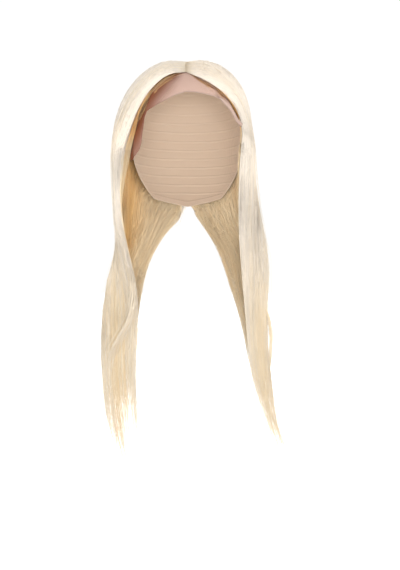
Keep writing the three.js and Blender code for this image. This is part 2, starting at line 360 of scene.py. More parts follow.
# tone outside at the front edge and further back, and what the fall adds at its edges and in its middle
PALE = (0.075, 0.11)
FALL_TONE = (0.02, 0.15)
# tone added at the roots: warmth painted over the shade of the parting
PARTING_PAINTED_WARMTH = 0.16
# tone of the painted golden shade inside the sheet, and how much of it is left in the fall
INSIDE_SHADE_TONE = 0.3
INSIDE_FADES = 0.75

# painted golden shade added inside, painted grey shade added outside at ear height as an ash tone,
# and how much of the front edge shows the painted shade of the inside
INSIDE_GOLD_SHADE = {"left": 0.37, "right": 0.1}
EAR_ASH_SHADE = {"left": 0.0, "right": 0.06}
EDGE_GOLD_SHADE = {"left": 1.0, "right": 0.3}
FRONT_EDGE = 0.05


def hair_tone(side, share, way, depth):
    low = smooth_step(*ENTERS_FALL, way) - 0.4 * smooth_step(*THINS_OUT, way)
    # a greyer ash tone near ear height paints shade on the outside of the right half
    pale = mix(*PALE, smooth_step(0.15, 0.4, share)) - EAR_ASH_SHADE[side] * bell(way, 0.36, 0.14)
    outside = pale + low * mix(*FALL_TONE, bell(share, 0.2, 0.13))
    # warmth painted over the shade of the parting
    outside = outside + PARTING_PAINTED_WARMTH * smooth_step(0.05, 0.0, way)
    # inside the sheet the tone is a painted golden shade, strongest behind the ears
    gold_shade = INSIDE_SHADE_TONE + INSIDE_GOLD_SHADE[side] * bell(share, 0.42, 0.24)
    inside = gold_shade * mix(1.0, INSIDE_FADES, smooth_step(*ENTERS_FALL, way))
    beside_neck = smooth_step(*REACHES_NECK, way) * smooth_step(*LEAVES_NECK, way)
    turned_in = np.maximum(depth, mix(1 - share / FRONT_EDGE, -1, EDGE_GOLD_SHADE[side] * beside_neck))
    return mix(inside, outside, smooth_step(-0.5, 0.3, turned_in))


# %% Hair material
# tone, colour; the gold and brown of the deeper tones stand mostly for painted shade
HAIR_COLOURS = [
    (0.0, (0.77, 0.70, 0.61)),
    (0.1, (0.89, 0.80, 0.69)),
    (0.18, (0.95, 0.84, 0.67)),
    (0.3, (0.97, 0.81, 0.56)),
    (0.6, (0.88, 0.60, 0.28)),
    (0.8, (0.74, 0.42, 0.15)),
    (1.0, (0.38, 0.16, 0.05)),
]
STREAK_STRETCH = (230.0, 4.0, 1.0)
STREAK_BRIGHTNESS = (0.84, 1.08)
STREAK_ROUGHNESS = (0.36, 0.55)


def hair_material():
    material, tree, shader = new_material("blonde_hair")
    tone = add_node(tree, "ShaderNodeAttribute", attribute_name="tone")
    ramp = add_node(tree, "ShaderNodeValToRGB")
    stops = ramp.color_ramp.elements
    for position, _ in HAIR_COLOURS[1:-1]:
        stops.new(position)
    for stop, (_, colour) in zip(stops, HAIR_COLOURS):
        stop.color = (*colour, 1)
    place = add_node(tree, "ShaderNodeUVMap", uv_map="OFBake")
    stretch = add_node(tree, "ShaderNodeMapping", in_Scale=STREAK_STRETCH)
    streak = add_node(tree, "ShaderNodeTexNoise", in_Scale=1.0, in_Detail=3.0)
    band = map_range(tree, (0.25, 0.75), STREAK_BRIGHTNESS)
    tint = add_node(tree, "ShaderNodeMix", data_type="RGBA", blend_type="MULTIPLY", in_Factor=1.0)
    rough = map_range(tree, (0, 1), STREAK_ROUGHNESS)
    join(
        tree,
        (tone.outputs["Fac"], ramp.inputs["Fac"]),
        (place.outputs["UV"], stretch.inputs["Vector"]),
        (stretch.outputs["Vector"], streak.inputs["Vector"]),
        (streak.outputs["Fac"], band.inputs["Value"]),
        (ramp.outputs["Color"], tint.inputs["A"]),
        (band.outputs["Result"], tint.inputs["B"]),
        (tint.outputs["Result"], shader.inputs["Base Color"]),
        (streak.outputs["Fac"], rough.inputs["Value"]),
        (rough.outputs["Result"], shader.inputs["Roughness"]),
    )
    shader.inputs["Specular IOR Level"].default_value = 0.26
    shader.inputs["Sheen Weight"].default_value = 0.12
    shader.inputs["Sheen Roughness"].default_value = 0.4
    return material


HAIR = hair_material()
print("made", HAIR.name)

# %% [markdown]
# ## The body of the hair
#
# Under the loose strands lies a dense body, so that no gap shows the cap. It is a flat tube that fills
# the middle of the sheet: a plain grid is bent round the sheet's section, its side edges are merged,
# and both ends are closed. It ends well above the tips, where the hair thins out.

# %% Section of the body
BODY_ROOT = 0.012
BODY_TIP = 0.81
BODY_FULL = 0.74
BODY_UNDER = 2.8 * MM
BODY_WIDTHS = (0.91, 0.955)
BODY_ROOT_DEPTH = 0.4
BODY_TIP_THIN, BODY_TIP_NARROW = 0.3, 0.7
BODY_TONE = 0.04
# shares over which the front edge is rounded, on the cap and off it, and the back edge
BODY_ROUND_FRONT, BODY_ROUND_BACK = (0.14, 0.08), 0.08


def body_places(side, turn, way):
    """Places and tones. The turn leads over the outside to the back edge at 0.5 and home on the inside."""
    share = 1 - np.abs(2 * turn - 1)
    front, back = share / mix(*BODY_ROUND_FRONT, off_cap(way)), (1 - share) / BODY_ROUND_BACK
    edge = np.clip(np.minimum(front, back), 0, 1) ** 0.5
    thin = mix(1.0, BODY_TIP_THIN, smooth_step(0.66, BODY_TIP, way))
    half = np.interp(way, np.linspace(0, 1, len(SHEETS[side]["half"])), SHEETS[side]["half"])
    full = np.minimum(BODY_FULL, 1 - BODY_UNDER / half)
    outer = mix(BODY_ROOT_DEPTH, full, smooth_step(0.0, 0.08, way))
    depth = mix(edge_depth(way) + 0.1, np.where(turn < 0.5, outer, -full), edge * thin)
    narrow = mix(1.0, BODY_TIP_NARROW, smooth_step(0.6, BODY_TIP, way))
    wide = mix(*BODY_WIDTHS, off_cap(way)) * narrow
    inside = 0.5 + (share - 0.5) * wide
    tones = hair_tone(side, inside, way, np.where(turn < 0.5, 1.0, -1.0)) + BODY_TONE
    return on_sheet(side, inside, way, depth), tones


# %% Body under the strands
BODY_ACROSS = 34
BODY_ALONG = 64
MERGE = 1e-6


def hair_body(side):
    bm = bmesh.new()
    bmesh.ops.create_grid(bm, x_segments=2 * BODY_ACROSS, y_segments=BODY_ALONG, size=0.5)
    flow = bm.loops.layers.uv.new("OFBake")
    flat = np.array([v.co for v in bm.verts]) + 0.5
    for face in bm.faces:
        for loop in face.loops:
            loop[flow].uv = flat[loop.vert.index, :2]
    placed, tones = body_places(side, flat[:, 0], mix(BODY_ROOT, BODY_TIP, flat[:, 1]))
    mark = bm.verts.layers.float.new("tone")
    for vert, place, tone in zip(bm.verts, placed, tones):
        vert.co = place
        vert[mark] = tone
    bmesh.ops.remove_doubles(bm, verts=bm.verts, dist=MERGE)
    bmesh.ops.holes_fill(bm, edges=bm.edges, sides=0)
    bmesh.ops.recalc_face_normals(bm, faces=bm.faces)
    mesh = bpy.data.meshes.new(f"hair_{side}_body")
    bm.to_mesh(mesh)
    bm.free()
    return piece_from(mesh.name, mesh, HAIR, f"hair_{side}")


for side in SIGN:
    piece = hair_body(side)
    print(piece.name, len(piece.data.polygons), "faces")

# %% [markdown]
# ## Strands
#
# The loose hair is thousands of fine tapered tubes with three sides. Blender could grow them as
# particles, but each must follow the sheet, so their paths are worked out as arrays. A strand has a
# share, a depth and a length of its own. Towards the tip it is drawn to its clump, which gives the
# soft points that straight hair falls into, and a slow wave keeps neighbours from lying dead parallel.
# Some clumps are a little more golden than others, which shows as broad streaks in the fall.

# %% Lengths and depths of strands
CLUMPS = 64
OUTER_BELOW, INNER_BELOW = 0.64, 0.94
OUTER_DEPTHS, MIDDLE_DEPTHS, INNER_DEPTHS = (0.74, 1.03), (-1, 0.74), (-1.03, -0.76)
ROUND_FRONT, ROUND_BACK = (0.13, 0.07), 0.05

# share of the strands that have ended, way along the sheet
LENGTHS = np.array([
    (0, 0.70), (0.3, 0.79), (0.52, 0.825), (0.7, 0.85), (0.82, 0.875), (0.89, 0.90), (0.935, 0.925),
    (0.965, 0.95), (0.985, 0.975), (1, 1),
])
LONGER = {"left": 0.025, "right": 0.0}
CLUMP_UNEVEN = 0.016
EDGE_SHORTER = 0.05


def strand_depths(count, rng):
    """Most strands lie near the outer or the inner face of the sheet."""
    face = rng.random(count)
    outer, middle = rng.uniform(*OUTER_DEPTHS, count), rng.uniform(*MIDDLE_DEPTHS, count)
    depth = np.where(face < OUTER_BELOW, outer, middle)
    inner = (face > OUTER_BELOW) & (face < INNER_BELOW)
    depth[inner] = rng.uniform(*INNER_DEPTHS, inner.sum())
    return depth


def strand_lengths(side, share, clump_number, rng):
    """Strands of one clump end near each other, and those at the edges of the sheet end earlier."""
    uneven = rng.normal(0, CLUMP_UNEVEN, CLUMPS)[clump_number]
    shorter = EDGE_SHORTER * smooth_step(0.5, 1.0, np.abs(2 * share - 1))
    length = np.interp(rng.random(len(share)), *LENGTHS.T) + LONGER[side] + uneven - shorter
    return np.minimum(length, 1.0)


def rounded_edges(across, way, depth):
    front, back = across / mix(*ROUND_FRONT, off_cap(way)), (1.0 - across) / ROUND_BACK
    near = np.clip(np.minimum(front, back), 0, 1)
    return mix(edge_depth(way), depth[:, None], np.sqrt(1 - (1 - near) ** 2))


# %% Paths of strands
STRAND_STEPS = 16
# points of a strand lie closer together on the round of the cap and by the neck than in the fall
STEPS_AT = np.interp(np.linspace(0, 1, STRAND_STEPS + 1), [0, 8 / 16, 13 / 16, 1], [0, 0.44, 0.73, 1])
EDGE_CROWDING = 1.5
CLUMP_SPREAD = 0.45
CLUMP_PULL = (0.25, 0.85)
STEP_POWER = (0.93, 1.08)
SWAY = 0.006
STRAND_TONE, CLUMP_TONE = 0.035, 0.055
# how far roots are drawn over the parting in mm, so that it stays a thin line
PARTING_SHUT = (1.4, 4.0)
# how far across the sheet the strands of the front edge are pressed together on the cap
FRONT_SHIFT = {"left": 0.028, "right": 0.022}


def strand_paths(side, count, first, last, rng):
    share = mix(first, last, rng.random(count) ** (EDGE_CROWDING if first == 0 else 1.0))
    depth = strand_depths(count, rng)
    number = np.round(share * CLUMPS + rng.normal(0, CLUMP_SPREAD, count))
    number = np.clip(number, 0, CLUMPS - 1).astype(int)
    clump = (number + 0.5) / CLUMPS
    length = strand_lengths(side, share, number, rng)
    pull = rng.uniform(*CLUMP_PULL, count)
    power = rng.uniform(*STEP_POWER, count)
    way = STEPS_AT[None] ** power[:, None] * length[:, None]
    drawn = smooth_step(0.35, 1.0, way) * pull[:, None]
    phase, pace = rng.random((2, count, 1))
    sway = SWAY * np.sin(2 * math.pi * ((1.2 + pace) * way + phase)) * smooth_step(0.05, 0.6, way)
    across = mix(share[:, None], clump[:, None], drawn) + sway
    rounded = rounded_edges(across, way, depth)
    squeeze = FRONT_SHIFT[side] * np.clip(1 - share / 0.12, 0, 1)
    across += squeeze[:, None] * (1 - off_cap(way))
    root_depth = mix(-0.95, 0.5 + 0.4 * depth, smooth_step(0.0, 0.1, share))
    rise = mix(root_depth[:, None], rounded, smooth_step(0.0, 0.1, way)) * mix(1.0, 0.8, drawn)
    tone = hair_tone(side, share[:, None], way, depth[:, None]) + rng.normal(0, STRAND_TONE, (count, 1))
    paths = on_sheet(side, across, way, rise)
    shut = rng.uniform(*PARTING_SHUT, count) * smooth_step(-0.01, 0.03, share) * MM
    paths[..., 0] -= SIGN[side] * shut[:, None] * (1 - smooth_step(0.0, 0.07, way))
    streaks = np.abs(rng.normal(0, CLUMP_TONE, CLUMPS))[number]
    tone = tone + streaks[:, None] * smooth_step(0.5, 0.75, way)
    return paths, way / length[:, None], tone


# %% Corners and faces of tubes
SIDES = 3
TIP_SIZE, ROOT_SIZE = 0.22, 0.7


def tube_corners(paths, along, radius):
    """Corners of the rings round each path, which taper to the root and to the tip."""
    tangent = unit(np.gradient(paths, axis=1))
    aside = unit(np.cross(tangent, np.array([0.13, 0.29, 0.95])))
    other = np.cross(tangent, aside)
    to_tip = mix(1.0, TIP_SIZE, smooth_step(0.55, 1.0, along))
    taper = to_tip * mix(ROOT_SIZE, 1.0, smooth_step(0, 0.06, along))
    size = (radius[:, None] * taper)[..., None]
    turns = 2 * math.pi * np.arange(SIDES) / SIDES
    corners = [paths + size * (math.cos(a) * aside + math.sin(a) * other) for a in turns]
    return np.stack(corners, 2).reshape(-1, 3)


def tube_faces(count, rings):
    """Numbers of the corners of all faces, one after another, and how many corners each face has."""
    starts = np.arange(count)[:, None] * rings * SIDES
    base = starts[:, None] + np.arange(rings - 1)[None, :, None] * SIDES
    this = np.arange(SIDES)[None, None]
    following = (this + 1) % SIDES
    ring = (base + this, base + following, base + following + SIDES, base + this + SIDES)
    quads = np.stack(ring, -1).reshape(-1, 4)
    root_caps = starts + np.arange(SIDES)[::-1]
    tip_caps = starts + (rings - 1) * SIDES + np.arange(SIDES)
    corners = np.concatenate([quads.ravel(), root_caps.ravel(), tip_caps.ravel()])
    return corners, np.concatenate([np.full(len(quads), 4), np.full(2 * count, SIDES)])


# %% Tubes along paths
def tube_mesh(name, paths, along, radius, tone):
    count, rings = paths.shape[:2]
    points = tube_corners(paths, along, radius)
    face_corners, sizes = tube_faces(count, rings)
    mesh = bpy.data.meshes.new(name)
    mesh.vertices.add(len(points))
    mesh.vertices.foreach_set("co", points.ravel().astype(np.float32))
    mesh.loops.add(len(face_corners))
    mesh.loops.foreach_set("vertex_index", face_corners.astype(np.int32))
    mesh.polygons.add(len(sizes))
    starts = np.concatenate([[0], np.cumsum(sizes)[:-1]])
    mesh.polygons.foreach_set("loop_start", starts.astype(np.int32))
    mesh.update(calc_edges=True)
    tones = mesh.attributes.new("tone", "FLOAT", "POINT")
    tones.data.foreach_set("value", np.repeat(np.clip(tone, 0, 1).ravel(), SIDES).astype(np.float32))
    column = (np.arange(count)[:, None, None] + 0.2 + 0.3 * np.arange(SIDES)[None, None]) / count
    u = np.broadcast_to(column, (count, rings, SIDES)).ravel()
    v = np.broadcast_to(along[:, :, None], (count, rings, SIDES)).ravel()
    uv = np.stack([u, v], -1)[face_corners]
    mesh.uv_layers.new(name="OFBake").data.foreach_set("uv", uv.ravel().astype(np.float32))
    mesh.validate()
    return mesh


# %% Strands of each part of the hair
# name, number of strands, first and last share
PARTS = [("front", 1700, 0.0, 0.30), ("side", 1150, 0.28, 0.64), ("back", 1150, 0.62, 1.0)]
STRAND_RADIUS = (0.22, 0.40)
STRAND_SEED = 100


def strands(side, part, count, first, last, seed):
    rng = np.random.default_rng(seed)
    paths, along, tone = strand_paths(side, count, first, last, rng)
    radius = rng.uniform(*STRAND_RADIUS, len(paths)) * MM
    mesh = tube_mesh(f"hair_{side}_{part}", paths, along, radius, tone)
    return piece_from(mesh.name, mesh, HAIR, f"hair_{side}")


for number, side in enumerate(SIGN):
    for step, row in enumerate(PARTS):
        piece = strands(side, *row, STRAND_SEED + 10 * number + step)
        print(piece.name, len(piece.data.polygons), "faces")

# %% [markdown]
# ## Hairline, loose locks and flyaways
#
# Four things break the even sheet. At the hairline, short-looking knotted hair lies flat on the lace,
# with the shade of the front locks painted into its deep gold. More such hair, its tone also painted
# shade, fills the hollow between each front lock and the lace at the temple. A few locks leave the fall:
# one crosses the left fall, one bows out of the right fall. And single hairs stand off all over. All are
# strands again, on paths of their own, and each side's are joined into one piece.

# %% Hairline
# number of strands, share that the foremost reach
HAIRLINE = {"left": (14, -0.02), "right": (14, 0.005)}
HAIRLINE_STARTS, HAIRLINE_ENDS = (0.02, 0.24), (0.42, 0.6)
HAIRLINE_BACK = 0.05
HAIRLINE_DEPTHS = (-1.0, -0.8)
HAIRLINE_LIFTS = (1.0, 2.0)
# deep gold tones that paint the shade of the front locks on the hairline
HAIRLINE_SHADE_TONES = (0.62, 0.85)
ALONG = np.linspace(0, 1, STRAND_STEPS + 1)[None]


def hairline_paths(side, rng):
    count, reach = HAIRLINE[side]
    start = mix(HAIRLINE_BACK, reach, rng.random(count) ** 1.6)
    first = rng.uniform(*HAIRLINE_STARTS, count) ** 1.3
    last = rng.uniform(*HAIRLINE_ENDS, count)
    way = mix(first[:, None], last[:, None], ALONG)
    across = mix(start[:, None], HAIRLINE_BACK, smooth_step(0.2, 0.5, way))
    depth = np.broadcast_to(mix(*HAIRLINE_DEPTHS, rng.random((count, 1))), way.shape)
    tone = rng.uniform(*HAIRLINE_SHADE_TONES, (count, 1)) * mix(1.0, 0.85, smooth_step(0.3, 0.5, way))
    place = on_sheet(side, across, way, depth)
    lift = rng.uniform(*HAIRLINE_LIFTS, (count, 1)) + 0 * way
    flat = form_point(place / MM - FORM_MIDDLE, lift) * MM
    place = mix(flat, place, smooth_step(0.36, 0.5, way)[..., None])
    return place, np.broadcast_to(ALONG, way.shape), tone


# %% Hair under the front locks
UNDER_STRANDS = {"left": 90, "right": 40}
UNDER_STARTS, UNDER_ENDS = (0.16, 0.26), (0.5, 0.62)
UNDER_BACK = 0.05
UNDER_DEPTH = -0.9
UNDER_LIFT = 3.0
# tones above and below the temple: painted shade of the hollow under the front lock
UNDER_SHADE_TONES = (0.78, 0.38)
UNDER_TONE_SPREAD = 0.08


def under_paths(side, rng):
    """Strands that sink from the inside of the front lock towards the lace and come back to the lock."""
    count = UNDER_STRANDS[side]
    share = rng.uniform(0.0, UNDER_BACK, (count, 1))
    way = mix(rng.uniform(*UNDER_STARTS, (count, 1)), rng.uniform(*UNDER_ENDS, (count, 1)), ALONG)
    way_key, lift_key, thick_key = np.array(ON_CAP[side]).T
    lift, thick = (np.interp(2 * way, way_key, key) for key in (lift_key, thick_key))
    lowest = (UNDER_LIFT - lift) / (thick / 2)
    down = rng.random((count, 1)) * smooth_step(0.23, 0.35, way) * smooth_step(0.6, 0.5, way)
    tone = mix(*UNDER_SHADE_TONES, smooth_step(0.32, 0.46, way))
    tone = tone + rng.uniform(-UNDER_TONE_SPREAD, UNDER_TONE_SPREAD, (count, 1))
    place = on_sheet(side, share, way, mix(UNDER_DEPTH, lowest, down))
    return place, np.broadcast_to(ALONG, way.shape), tone


# %% Flyaways
FLYAWAYS = 130
FLYAWAY_SHARES = (0.01, 0.99)
FLYAWAY_ROOT = 0.03
FLYAWAY_LENGTHS = (0.5, 0.98)
FLYAWAY_SWING = 0.035
FLYAWAY_TONES = (0.08, 0.26)


def flyaway_paths(side, rng):
    share = rng.uniform(*FLYAWAY_SHARES, (FLYAWAYS, 1))
    length = rng.uniform(*FLYAWAY_LENGTHS, (FLYAWAYS, 1))
    way = np.linspace(FLYAWAY_ROOT, 1, STRAND_STEPS + 1)[None] * length
    phase, pace, height = rng.random((3, FLYAWAYS, 1))
    off = smooth_step(0.05, 0.9, way)
    across = share + FLYAWAY_SWING * off * np.sin(2 * math.pi * ((0.7 + pace) * way + phase))
    depth = 0.9 + off * (0.1 + 0.9 * height**2)
    tone = np.broadcast_to(rng.uniform(*FLYAWAY_TONES, (FLYAWAYS, 1)), way.shape)
    return on_sheet(side, across, way, depth), way / length, tone


# %% Locks that leave the fall
# number of strands, spread at the root and at the tip, tone, places
LOOSE_LOCKS = {
    "left": {
        "crossing": (36, 3.5, 8.0, 0.17, [
            (-69, -54, -256), (-65.5, -64, -278), (-66, -71, -302), (-71, -75, -324), (-81, -75, -342),
            (-89, -74, -358), (-93, -72, -377), (-93, -70, -399), (-89, -69, -421),
        ]),
        "chest_strays": (7, 1.0, 3.5, 0.3, [
            (-66, -52, -296), (-65, -58, -316), (-61, -63, -338), (-60, -66, -362), (-62, -68, -384),
        ]),
    },
    "right": {
        "bow": (50, 1.4, 2.0, 0.22, [
            (86, -44, -276), (94, -47, -297), (102, -51, -318), (105, -55, -340), (104.5, -57, -362),
            (102, -59, -386), (101, -61, -414), (105, -63, -444),
        ]),
        "shoulder_strays": (10, 2.0, 5.0, 0.2, [
            (88, -40, -270), (92, -42, -296), (101, -44, -322), (110, -46, -346), (115, -48, -362),
        ]),
        "tip_strays": (34, 2.5, 6.0, 0.22, [
            (90, -58, -380), (96, -62, -410), (106, -65, -442), (119, -66, -472), (130, -66, -494),
        ]),
    },
}
LOCK_STEPS = 8
LOCK_STARTS, LOCK_ENDS = (0, 0.12), (0.72, 1.0)
LOCK_SECTION = np.array([1.0, 0.5, 0.6])
LOCK_TONE = 0.05


def lock_paths(count, root_spread, tip_spread, tone, places, rng):
    guide = smooth_paths(np.array(places)[None] * MM, LOCK_STEPS)[0]
    length = rng.uniform(*LOCK_ENDS, (count, 1))
    at = mix(rng.uniform(*LOCK_STARTS, (count, 1)), length, ALONG) * (len(guide) - 1)
    place = np.stack([np.interp(at, np.arange(len(guide)), guide[:, axis]) for axis in range(3)], -1)
    aside = rng.normal(0, 0.5, (count, 1, 3)) * LOCK_SECTION
    swing = rng.normal(0, 0.35, (count, 1, 3)) * np.sin(math.pi * ALONG)[..., None]
    spread = mix(root_spread, tip_spread, ALONG * length)[..., None] * MM
    tones = np.broadcast_to(tone + rng.normal(0, LOCK_TONE, (count, 1)), at.shape)
    return place + (aside + swing) * spread, np.broadcast_to(ALONG, at.shape), tones


# %% Loose hair of each side
HAIRLINE_RADIUS, FLYAWAY_RADIUS, LOCK_RADIUS, UNDER_RADIUS = 0.15, 0.13, 0.22, 0.25
RADIUS_SPREAD = (0.75, 1.25)
LOOSE_SEED = 300


def loose_hair(side, seed):
    rng = np.random.default_rng(seed)
    groups = [(hairline_paths(side, rng), HAIRLINE_RADIUS), (flyaway_paths(side, rng), FLYAWAY_RADIUS)]
    groups += [(lock_paths(*row, rng), LOCK_RADIUS) for row in LOOSE_LOCKS[side].values()]
    groups.append((under_paths(side, rng), UNDER_RADIUS))
    paths, along, tone = (np.concatenate([group[0][i] for group in groups]) for i in range(3))
    radius = np.concatenate([np.full(len(group[0][0]), group[1]) for group in groups])
    radius *= rng.uniform(*RADIUS_SPREAD, len(radius)) * MM
    mesh = tube_mesh(f"hair_{side}_loose", paths, along, radius, tone)
    return piece_from(mesh.name, mesh, HAIR, f"hair_{side}")


for number, side in enumerate(SIGN):
    piece = loose_hair(side, LOOSE_SEED + number)
    print(piece.name, len(piece.data.polygons), "faces")

# %% [markdown]
# ## The cap as one form
#
# Lace and cap are cut from the same form, as the real ones are sewn to one shape. A grid is wrapped
# from the crown down to the rim, where a table says how low the edge lies all round. The lace edge is
# loose: it ripples, and at the right temple it is rolled up. A slanting plane then parts the lace in
# front from the plain cap behind.

# %% Places on the cap
# angle from the front, drop of the rim on the left and on the right
RIM = np.array([
    (0, 42, 42), (10, 47, 43), (18, 54, 45), (26, 59, 48), (30, 62, 50.5), (34, 66, 54), (36, 91, 57),
    (37.5, 102, 60), (40, 109, 67), (42, 112, 71), (46, 117, 72), (52, 118, 76), (58, 119, 81),
    (64, 120, 92), (70, 121, 114), (88, 98, 98), (100, 96, 96), (118, 124, 124), (140, 160, 160),
    (180, 170, 170),
], float)

# angle, spread and lift of the waves of the loose lace edge, and the way down from which they rise
LACE_WAVES = np.array([
    (-22, 8, 1.2), (-35, 5, 2.4), (-47, 6, 4.2), (-64, 6, 2), (27, 6, 1.6), (41, 4.5, 3.6), (54, 5, 2),
])
WAVES_FROM = 0.62

# roll of the lace at the right temple: middle angle, half width, radius, cloth taken up, way it starts
ROLL_AT, ROLL_HALF, ROLL_RADIUS, ROLL_CLOTH, ROLL_FROM = 43, 18, 1.9, 10.5, 0.88
ROLL_FULL = 0.55
SMALL_STEP = 0.02


def cap_places(degrees, way, lift):
    """Places at an angle and a way down the cap, and the cloth that is rolled up there in mm."""
    left, right = (np.interp(np.abs(degrees), RIM[:, 0], RIM[:, column]) for column in (1, 2))
    rim = form_direction(np.radians(degrees), -np.where(degrees < 0, left, right))
    crown = np.broadcast_to(UP, rim.shape)
    rolled = smooth_step(ROLL_HALF, ROLL_FULL * ROLL_HALF, np.abs(degrees - ROLL_AT))
    down = np.minimum(mix(way, way / ROLL_FROM, rolled), 1.0)
    waves = LACE_WAVES[:, 2] * bell(degrees[:, None], LACE_WAVES[:, 0], LACE_WAVES[:, 1])
    raised = lift + smooth_step(WAVES_FROM, 1.0, down) * waves.sum(-1)
    direction = turned(crown, rim, down[:, None])
    placed = form_point(direction, raised)
    above = form_point(turned(crown, rim, down[:, None] - SMALL_STEP), raised)
    out = unit(form_point(direction, raised + 1) - placed)
    cloth = rolled * ROLL_CLOTH * np.clip((way - ROLL_FROM) / (1 - ROLL_FROM), 0, 1)
    turn = (cloth / ROLL_RADIUS)[:, None]
    curl = np.sin(turn) * unit(placed - above) + (1 - np.cos(turn)) * out
    return (placed + ROLL_RADIUS * curl) * MM, cloth


# %% Cap form
CAP_AROUND = 240
CAP_DOWN = 60
# above 1, rows of the grid lie closer together at the rim
RIM_CROWDING = 1.25
# cloth rolled up, from which the lace counts as double
DOUBLED_FROM = 1.5


def cap_grid(lift):
    bm = bmesh.new()
    bmesh.ops.create_grid(bm, x_segments=CAP_AROUND, y_segments=CAP_DOWN, size=0.5)
    net = bm.loops.layers.uv.new("net")
    flat = np.array([v.co for v in bm.verts])
    degrees = flat[:, 0] * 360
    way = 1 - (0.5 - flat[:, 1]) ** RIM_CROWDING
    placed, cloth = cap_places(degrees, way, lift)
    doubled = bm.verts.layers.float.new("doubled")
    for vert, place, taken in zip(bm.verts, placed, cloth):
        vert.co = place
        vert[doubled] = min(taken / DOUBLED_FROM, 1.0)
    for face in bm.faces:
        for loop in face.loops:
            index = loop.vert.index
            loop[net].uv = (degrees[index] / 360 + 0.5, way[index])
    bmesh.ops.remove_doubles(bm, verts=bm.verts, dist=MERGE)
    bmesh.ops.recalc_face_normals(bm, faces=bm.faces)
    return bm


# %% Cut at the seam
SEAM_TOP_Y = 42
SEAM_LEAN = math.radians(-22)
SEAM_HALF_GAP = 0.15


def cut_at_seam(bm, keep_front):
    facing = Vector((0, math.cos(SEAM_LEAN), math.sin(SEAM_LEAN)))
    place = Vector((0, SEAM_TOP_Y * MM, 0)) + facing * SEAM_HALF_GAP * MM * (-1 if keep_front else 1)
    parts = bm.verts[:] + bm.edges[:] + bm.faces[:]
    bmesh.ops.bisect_plane(
        bm, geom=parts, plane_co=place, plane_no=facing, clear_outer=keep_front, clear_inner=not keep_front
    )


def finish_cloth(bm, name, wall, material, node):
    bmesh.ops.solidify(bm, geom=bm.faces[:], thickness=wall)
    mesh = bpy.data.meshes.new(name)
    bm.to_mesh(mesh)
    bm.free()
    return piece_from(name, mesh, material, node)


# %% [markdown]
# ## Lace
#
# The lace front is a fine net of hexagonal holes in a flesh tint. Single threads are far thinner than
# a pixel, so the net is drawn by the material: three sets of waves at 60 degrees make a honeycomb of
# round holes that let the light through. It is dense at the cut edge and where it is rolled double, and
# dark beside the front edge of the hair, where the hairs are knotted in and the shade of the front locks
# is painted on.

# %% Honeycomb of the nets
# a net turns away from the front, so its sideways waves run a little with depth too
DEPTH_SHARE = 0.35


def honeycomb(tree, pitch):
    """Value from about -1.5 on the threads to 3 in the middle of a hole, for holes a pitch apart."""
    where = add_node(tree, "ShaderNodeTexCoord")
    waves = []
    for degrees in (0, 60, 120):
        angle = math.radians(degrees)
        pace = 2 * math.pi / (pitch * math.sqrt(3) / 2)
        sideways = math.cos(angle)
        direction = (sideways * pace, DEPTH_SHARE * sideways * pace, math.sin(angle) * pace)
        along = add_node(tree, "ShaderNodeVectorMath", operation="DOT_PRODUCT")
        along.inputs[1].default_value = direction
        wave = add_node(tree, "ShaderNodeMath", operation="COSINE")
        join(tree, (where.outputs["Object"], along.inputs[0]), (along.outputs["Value"], wave.inputs[0]))
        waves.append(wave.outputs["Value"])
    pair = add_node(tree, "ShaderNodeMath", operation="ADD")
    total = add_node(tree, "ShaderNodeMath", operation="ADD")
    join(tree, (waves[0], pair.inputs[0]), (waves[1], pair.inputs[1]))
    join(tree, (pair.outputs["Value"], total.inputs[0]), (waves[2], total.inputs[1]))
    return total.outputs["Value"]


# %% Lace material
LACE_PITCH = 1.1 * MM
# cover on the threads and in the holes, and the ways down between which the cut edge closes
LACE_COVER = (0.92, 0.34)
LACE_EDGE = (0.978, 0.99)
LACE_TINT = (0.63, 0.43, 0.355, 1)
DENSE_TINT = (0.41, 0.29, 0.24, 1)
# dark brown of the knotted hair and the shade of the front locks, painted together
KNOT_AND_SHADE_TINT = (0.19, 0.047, 0.01, 1)


